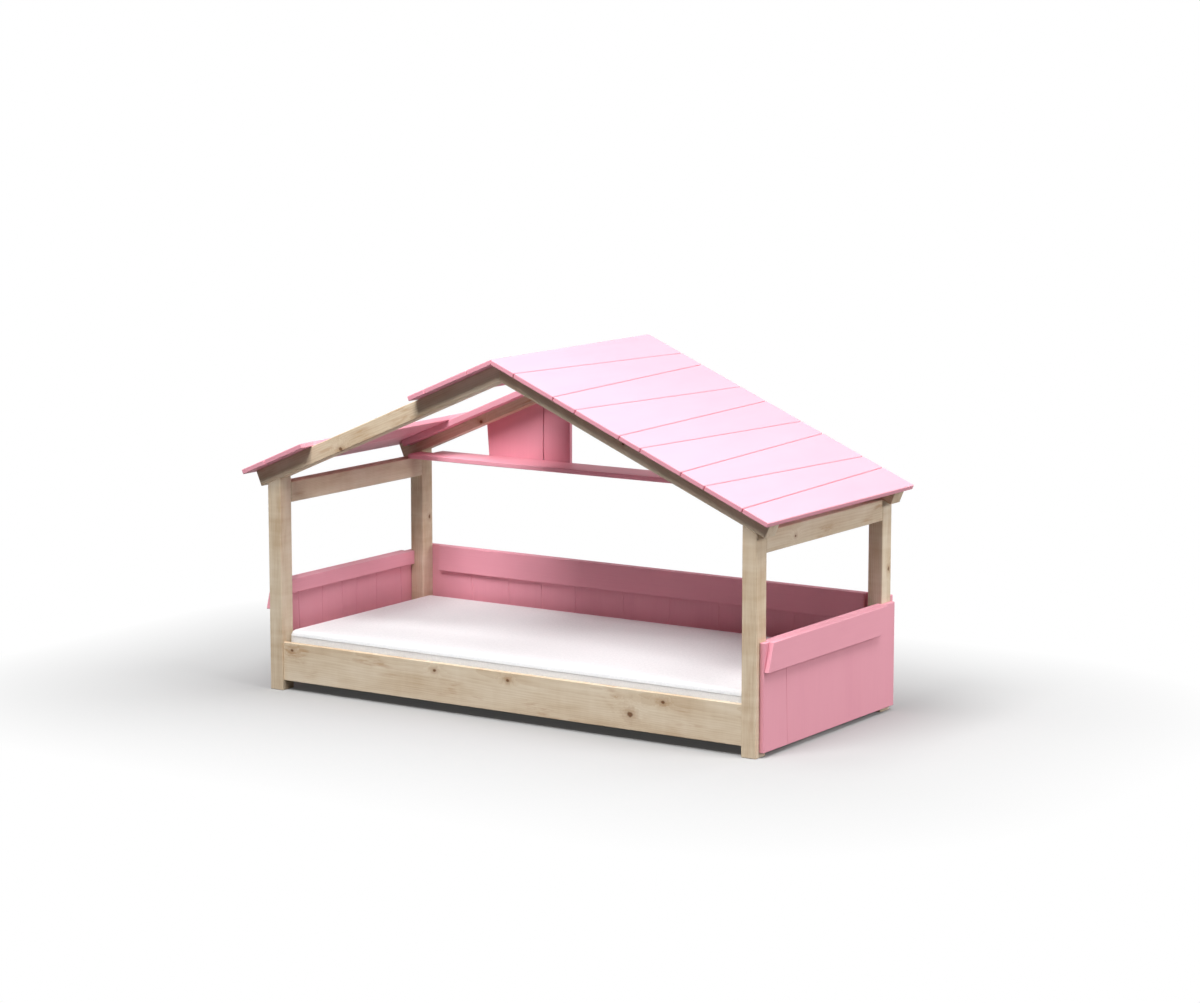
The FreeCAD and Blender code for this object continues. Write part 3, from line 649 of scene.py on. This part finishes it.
def side_profile():
    """(inset, height, nearness to a seam) pairs from the bottom edge up to the top edge."""
    steps = []
    for step in range(6):
        angle = math.radians(90 * (1 - step / 5))
        inset = BOTTOM_ROUND * (1 - math.cos(angle))
        steps.append((inset, BOTTOM + BOTTOM_ROUND * (1 - math.sin(angle)), 0.0))
    steps.append((0.0, BOTTOM_SEAM - LOW_SEAM_REACH, 0.6))
    steps.append((SEAM_DEPTH, BOTTOM_SEAM, 1.0))
    steps.append((0.0, BOTTOM_SEAM + LOW_SEAM_REACH, 0.8))
    band = TOP_SEAM - BOTTOM_SEAM
    for part, near in BAND_STEPS:
        steps.append((BELLY * abs(2 * part - 1) ** 2, BOTTOM_SEAM + band * part, near))
    steps.append((BELLY, TOP_SEAM - TOP_SEAM_REACH, 0.8))
    steps.append((SEAM_DEPTH, TOP_SEAM, 1.0))
    steps.append((LIP_INSET, TOP_SEAM + TOP_SEAM_REACH, 0.8))
    for step in range(1, 9):
        angle = math.radians(90 * step / 8)
        height = TOP - CROWN - TOP_ROUND * (1 - math.sin(angle))
        steps.append((LIP_INSET + TOP_ROUND * (1 - math.cos(angle)), height, max(0.0, 0.6 - step * 0.09)))
    return steps


def long_waves(x, y):
    """Slow rise and fall of the top, about a millimetre."""
    return 0.0005 * math.sin(3.1 * x + 1.0) * math.cos(4.3 * y) + 0.0004 * math.sin(7.7 * x - 5.1 * y + 0.6)


def crown_height(x, y):
    """How far the cover stands up towards the middle of the mattress."""
    along = max(0.0, 1 - (abs(x) / HALF_LONG) ** 8)
    across = max(0.0, 1 - (abs(y) / HALF_WIDE) ** 4)
    return (CROWN + long_waves(x, y)) * along * across


rounded = side_profile()
profile = [(inset, BOTTOM, 0.0) for inset in BOTTOM_RINGS] + rounded
last_inset, last_height, _ = rounded[-1]
profile += [(last_inset + extra, None, 0.0) for extra in TOP_RINGS]
shell = bmesh.new()
rows = []
for inset, height, near in profile:
    row = []
    for place, out, walked in plan_ring(min(inset, HALF_WIDE - 0.02)):
        gather = math.sin(2 * math.pi * walked / PUCKER_PITCH) + 0.6 * math.sin(walked * 131.0 + 0.7)
        spot = place - out * (PUCKER * near * (1.0 + gather))
        level = last_height + crown_height(*spot) if height is None else height
        row.append(shell.verts.new((middle.x + spot.x, middle.y + spot.y, level)))
    rows.append(row)
for lower, upper in zip(rows, rows[1:]):
    for index in range(len(lower)):
        after = (index + 1) % len(lower)
        shell.faces.new((lower[index], lower[after], upper[after], upper[index]))
shell.faces.new(list(reversed(rows[0])))
shell.faces.new(rows[-1])
bmesh.ops.recalc_face_normals(shell, faces=shell.faces)
mattress_mesh = bpy.data.meshes.new("mattress_cover")
shell.to_mesh(mattress_mesh)
shell.free()
mattress_mesh.shade_smooth()
mattress_cover = bpy.data.objects.new("mattress_cover", mattress_mesh)
bpy.context.scene.collection.objects.link(mattress_cover)
print(f"mattress cover with {len(mattress_mesh.polygons)} faces")

# %% [markdown]
# ## White knit cover
#
# The cover is a thick white knit with a fine pebbled face that softens the light. Small cells in the bump
# give the pebbles, a second, larger noise lets the cloth ripple slightly, and a little sheen stands for
# the fuzz of the yarn. The white darkens towards the edges of the cells, which are the hollows of the
# bump, as painted shade, and it also varies with a finer random tone.

# %% Cover finish
KNIT_WHITE = colour(236, 236, 237)
KNIT_SHADE = colour(221, 222, 224)


def knit_cover(name, cell=0.0045):
    """White knitted cloth with a pebbled face."""
    material, tree = new_material(name)
    here = add(tree, "ShaderNodeTexCoord").outputs["Object"]
    pebbles = add(
        tree, "ShaderNodeTexVoronoi", {"Vector": here, "Scale": 1.0 / cell, "Randomness": 0.75},
    ).outputs["Distance"]
    fuzz = add(tree, "ShaderNodeTexNoise", {"Vector": here, "Scale": 650.0, "Detail": 2.0}).outputs[0]
    ripple = add(tree, "ShaderNodeTexNoise", {"Vector": here, "Scale": 9.0, "Detail": 3.0}).outputs[0]
    grain = add(tree, "ShaderNodeTexNoise", {"Vector": here, "Scale": 95.0, "Detail": 3.0}).outputs[0]
    # Painted shade: the colour darkens towards the cell edges, where the bump puts its hollows, and the finer
    # noise adds a random tone.
    tone = maths(tree, "ADD", maths(tree, "MULTIPLY", pebbles, 0.5), maths(tree, "MULTIPLY", grain, 0.6))
    shade = ramp(tree, tone, [(0.3, KNIT_WHITE), (0.85, KNIT_SHADE)])
    relief = maths(tree, "ADD", maths(tree, "MULTIPLY", pebbles, -1.0), maths(tree, "MULTIPLY", fuzz, 0.4))
    fine = add(tree, "ShaderNodeBump", {"Strength": 0.4, "Distance": 0.0012, "Height": relief})
    wide = add(
        tree, "ShaderNodeBump",
        {"Strength": 0.3, "Distance": 0.006, "Height": ripple, "Normal": fine.outputs[0]},
    )
    shader = add(
        tree, "ShaderNodeBsdfPrincipled",
        {
            "Base Color": shade,
            "Roughness": 0.85,
            "Normal": wide.outputs[0],
            "Sheen Weight": 0.2,
            "Sheen Roughness": 0.5,
            "Specular IOR Level": 0.3,
        },
    )
    finish_material(tree, shader)
    return material


knit = knit_cover("white_knit")
mattress_cover.data.materials.append(knit)
dress("mattress", knit)
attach(mattress_cover, "mattress")
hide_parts("mattress")
print("mattress covered")

# %% [markdown]
# ## Piping, stitches and screws
#
# These are small things that repeat, or that follow a line, so each is grown by a Geometry Nodes tree
# from a simple guide: a closed line round the mattress, or one point for each screw. A tree gets its
# sizes through named inputs. `grow` hangs the tree on the guide, fills the inputs, evaluates the result
# once and keeps it as a plain mesh.

# %% Geometry Nodes helpers
def new_tree(name, sizes):
    """A tree with one geometry input, a material input and a number input for every size."""
    tree = bpy.data.node_groups.new(name, "GeometryNodeTree")
    tree.interface.new_socket("Geometry", in_out="INPUT", socket_type="NodeSocketGeometry")
    tree.interface.new_socket("Finish", in_out="INPUT", socket_type="NodeSocketMaterial")
    for size in sizes:
        tree.interface.new_socket(size, in_out="INPUT", socket_type="NodeSocketFloat")
    tree.interface.new_socket("Geometry", in_out="OUTPUT", socket_type="NodeSocketGeometry")
    return tree, tree.nodes.new("NodeGroupInput").outputs


def end_tree(tree, geometry, finish):
    """Closes a tree: real geometry, the finish, the output."""
    real = add(tree, "GeometryNodeRealizeInstances", {0: geometry}).outputs[0]
    dressed = add(tree, "GeometryNodeSetMaterial", {"Geometry": real, "Material": finish}).outputs[0]
    add(tree, "NodeGroupOutput", {0: dressed})


def grow(name, guide, tree, finish, sizes):
    """Runs a tree on a guide mesh and gives the result as an object with a plain mesh."""
    piece = bpy.data.objects.new(name, guide)
    bpy.context.scene.collection.objects.link(piece)
    growth = piece.modifiers.new(tree.name, "NODES")
    growth.node_group = tree
    values = {"Finish": finish, **sizes}
    for item in tree.interface.items_tree:
        if item.in_out == "INPUT" and item.name in values:
            growth[item.identifier] = values[item.name]
    bpy.context.view_layer.update()
    evaluated = piece.evaluated_get(bpy.context.evaluated_depsgraph_get())
    grown = bpy.data.meshes.new_from_object(evaluated)
    grown.name = name
    piece.modifiers.clear()
    piece.data = grown
    print(f"{name}: {len(grown.polygons)} faces")
    return piece


def closed_line(name, points):
    """A guide: a closed line through points."""
    guide = bpy.data.meshes.new(name)
    guide.from_pydata(points, [(i, (i + 1) % len(points)) for i in range(len(points))], [])
    return guide


def seam_line(inset, height):
    """Points round the mattress at a height."""
    return [(middle.x + place.x, middle.y + place.y, height) for place, _, _ in plan_ring(inset)]


# %% [markdown]
# ### Piping and stitches
#
# A thin cord in the cover's cloth lies in the groove of each seam. Beside the top seam runs a row of
# stitches, each a short grain of thread that lies along the seam.

# %% Piping and stitches
piping, given = new_tree("piping", ["Cord radius"])
path = add(piping, "GeometryNodeMeshToCurve", {0: given["Geometry"]}).outputs[0]
section = add(
    piping, "GeometryNodeCurvePrimitiveCircle", {"Resolution": 8, "Radius": given["Cord radius"]},
).outputs[0]
cord = add(piping, "GeometryNodeCurveToMesh", {"Curve": path, "Profile Curve": section}).outputs[0]
cord = add(piping, "GeometryNodeSetShadeSmooth", {0: cord}).outputs[0]
end_tree(piping, cord, given["Finish"])

stitching, given = new_tree("stitching", ["Pitch", "Stitch length", "Thread radius"])
path = add(stitching, "GeometryNodeMeshToCurve", {0: given["Geometry"]}).outputs[0]
dots = add(stitching, "GeometryNodeResampleCurve", {"Curve": path, "Length": given["Pitch"]}, mode="LENGTH")
grain = add(stitching, "GeometryNodeMeshIcoSphere", {"Radius": 1.0, "Subdivisions": 1}).outputs[0]
half_stitch = maths(stitching, "MULTIPLY", given["Stitch length"], 0.5)
size = add(
    stitching, "ShaderNodeCombineXYZ", {0: half_stitch, 1: given["Thread radius"], 2: given["Thread radius"]},
).outputs[0]
turned = add(
    stitching, "FunctionNodeAlignRotationToVector",
    {"Vector": stitching.nodes.new("GeometryNodeInputTangent").outputs[0]}, axis="X",
).outputs[0]
row = add(
    stitching, "GeometryNodeInstanceOnPoints",
    {"Points": dots.outputs[0], "Instance": grain, "Rotation": turned, "Scale": size},
).outputs[0]
end_tree(stitching, row, given["Finish"])

for name, height in (("top_piping", TOP_SEAM), ("bottom_piping", BOTTOM_SEAM)):
    guide = closed_line(name, seam_line(SEAM_DEPTH - 0.0002, height))
    piece = grow(name, guide, piping, knit, {"Cord radius": 0.0009})
    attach(piece, "mattress")

thread, tree = new_material("white_thread")
here = add(tree, "ShaderNodeTexCoord").outputs["Object"]
twist = add(tree, "ShaderNodeTexNoise", {"Vector": here, "Scale": 900.0})
shade = ramp(tree, twist.outputs[0], [(0.3, colour(214, 214, 216)), (0.7, colour(236, 236, 237))])
cotton = add(tree, "ShaderNodeBsdfPrincipled", {"Base Color": shade, "Roughness": 0.6, "Sheen Weight": 0.3})
finish_material(tree, cotton)
guide = closed_line("stitch_line", seam_line(0.0012, TOP_SEAM + 0.0052))
stitches = grow(
    "seam_stitches", guide, stitching, thread,
    {"Pitch": 0.0075, "Stitch length": 0.0042, "Thread radius": 0.0006},
)
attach(stitches, "mattress")

# %% [markdown]
# ### Screws
#
# The roof boards show no screw from above, so they are held from below, through the battens: one screw
# under each board, square to the slope. The slat ledges are screwed to the side rails, and the back
# panel and the gable boards to the posts and the shelf, from behind. A guide point knows which way its
# screw faces, and the tree stands a pan head with a cross recess on it, turned by a random angle.

# %% Screws
def face_of(node_name, towards):
    """A point and the normal of the node's largest face that looks a given way."""
    best = max(
        (face for face in nodes[node_name].data.polygons if face.normal.dot(towards) > 0.85),
        key=lambda face: face.area,
    )
    return best.center.copy(), best.normal.copy()


def ends_of(board):
    """Middle of a roof board's front end and of its back end, in x."""
    box_low, box_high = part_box(board)
    places = [vertex.co for vertex in nodes[board].data.vertices]
    front = [place.x for place in places if place.y < box_low.y + 0.004]
    back = [place.x for place in places if place.y > box_high.y - 0.004]
    return (min(front) + max(front)) / 2, (min(back) + max(back)) / 2


LEDGE_SCREWS, FIRST_LEDGE_SCREW, LEDGE_PITCH = 8, -0.91, 0.26
CLEAR_OF_END = 0.02
screw_points = []
for batten in sorted(name for name in nodes if name.startswith("roof_batten_")):
    on_face, facing = face_of(batten, Vector((0, 0, -1)))
    batten_low, batten_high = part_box(batten)
    end = batten.rsplit("_", 1)[1]
    for board in sorted(name for name in nodes if name.startswith(f"roof_board_{end}")):
        box_low, box_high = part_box(board)
        front_x, back_x = ends_of(board)
        part = (on_face.y - box_low.y) / (box_high.y - box_low.y)
        x = front_x + (back_x - front_x) * part
        x = min(max(x, batten_low.x + CLEAR_OF_END), batten_high.x - CLEAR_OF_END)
        z = on_face.z - facing.x / facing.z * (x - on_face.x)
        screw_points.append((Vector((x, on_face.y, z)), facing))
for ledge, inwards in (("slat_ledge_front", Vector((0, 1, 0))), ("slat_ledge_back", Vector((0, -1, 0)))):
    on_face, facing = face_of(ledge, inwards)
    for step in range(LEDGE_SCREWS):
        x = FIRST_LEDGE_SCREW + LEDGE_PITCH * step
        screw_points.append((Vector((x, on_face.y, on_face.z)), facing))
for board, spots in (
    ("panel_back", [(x, z) for x in (-1.03, 1.03) for z in (0.06, 0.22, 0.38)]),
    ("gable_board_1", [(-0.68, 0.793), (-0.53, 0.793)]),
    ("gable_board_2", [(-0.435, 0.793), (-0.375, 0.793)]),
):
    on_face, facing = face_of(board, Vector((0, 1, 0)))
    screw_points += [(Vector((x, on_face.y, z)), facing) for x, z in spots]

guide = bpy.data.meshes.new("screw_points")
guide.from_pydata([place for place, _ in screw_points], [], [])
facings = guide.attributes.new("facing", "FLOAT_VECTOR", "POINT")
facings.data.foreach_set("vector", [part for _, facing in screw_points for part in facing])

screws, given = new_tree("pan_head_screws", ["Head radius", "Head height", "Seed"])
head = add(
    screws, "GeometryNodeMeshCone",
    {
        "Vertices": 20, "Depth": given["Head height"], "Radius Bottom": given["Head radius"],
        "Radius Top": maths(screws, "MULTIPLY", given["Head radius"], 0.72),
    },
).outputs[0]
long_side = maths(screws, "MULTIPLY", given["Head radius"], 1.05)
short_side = maths(screws, "MULTIPLY", given["Head radius"], 0.24)
slots = []
for sides in ({0: long_side, 1: short_side}, {0: short_side, 1: long_side}):
    bar = add(screws, "GeometryNodeMeshCube", {
        0: add(screws, "ShaderNodeCombineXYZ", {**sides, 2: given["Head height"]}).outputs[0],
    }).outputs[0]
    lift = add(screws, "ShaderNodeCombineXYZ", {2: given["Head height"]}).outputs[0]
    slots.append(add(screws, "GeometryNodeTransform", {"Geometry": bar, "Translation": lift}).outputs[0])
cut = screws.nodes.new("GeometryNodeMeshBoolean")
cut.operation = "DIFFERENCE"
cut.solver = "EXACT"
screws.links.new(head, cut.inputs["Mesh 1"])
for slot in slots:
    screws.links.new(slot, cut.inputs["Mesh 2"])
facing_of_point = add(
    screws, "GeometryNodeInputNamedAttribute", {"Name": "facing"}, data_type="FLOAT_VECTOR",
).outputs[0]
stands = add(
    screws, "FunctionNodeAlignRotationToVector",
    {"Vector": facing_of_point}, axis="Z",
).outputs[0]
spin = screws.nodes.new("FunctionNodeRandomValue")
spin.data_type = "FLOAT"
spin.inputs[3].default_value = math.pi / 2
screws.links.new(given["Seed"], spin.inputs["Seed"])
twist = add(screws, "FunctionNodeAxisAngleToRotation", {"Axis": (0, 0, 1), "Angle": spin.outputs[1]}).outputs[0]
turned = add(screws, "FunctionNodeRotateRotation", {0: stands, 1: twist}, rotation_space="LOCAL").outputs[0]
heads = add(
    screws, "GeometryNodeInstanceOnPoints",
    {"Points": given["Geometry"], "Instance": cut.outputs[0], "Rotation": turned},
).outputs[0]
end_tree(screws, heads, given["Finish"])
board_screws = grow(
    "board_screws", guide, screws, steel, {"Head radius": 0.0042, "Head height": 0.002, "Seed": 5.0},
)
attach(board_screws, "frame")
print(f"{len(screw_points)} screws")

# %% Done
print("bed dressed")
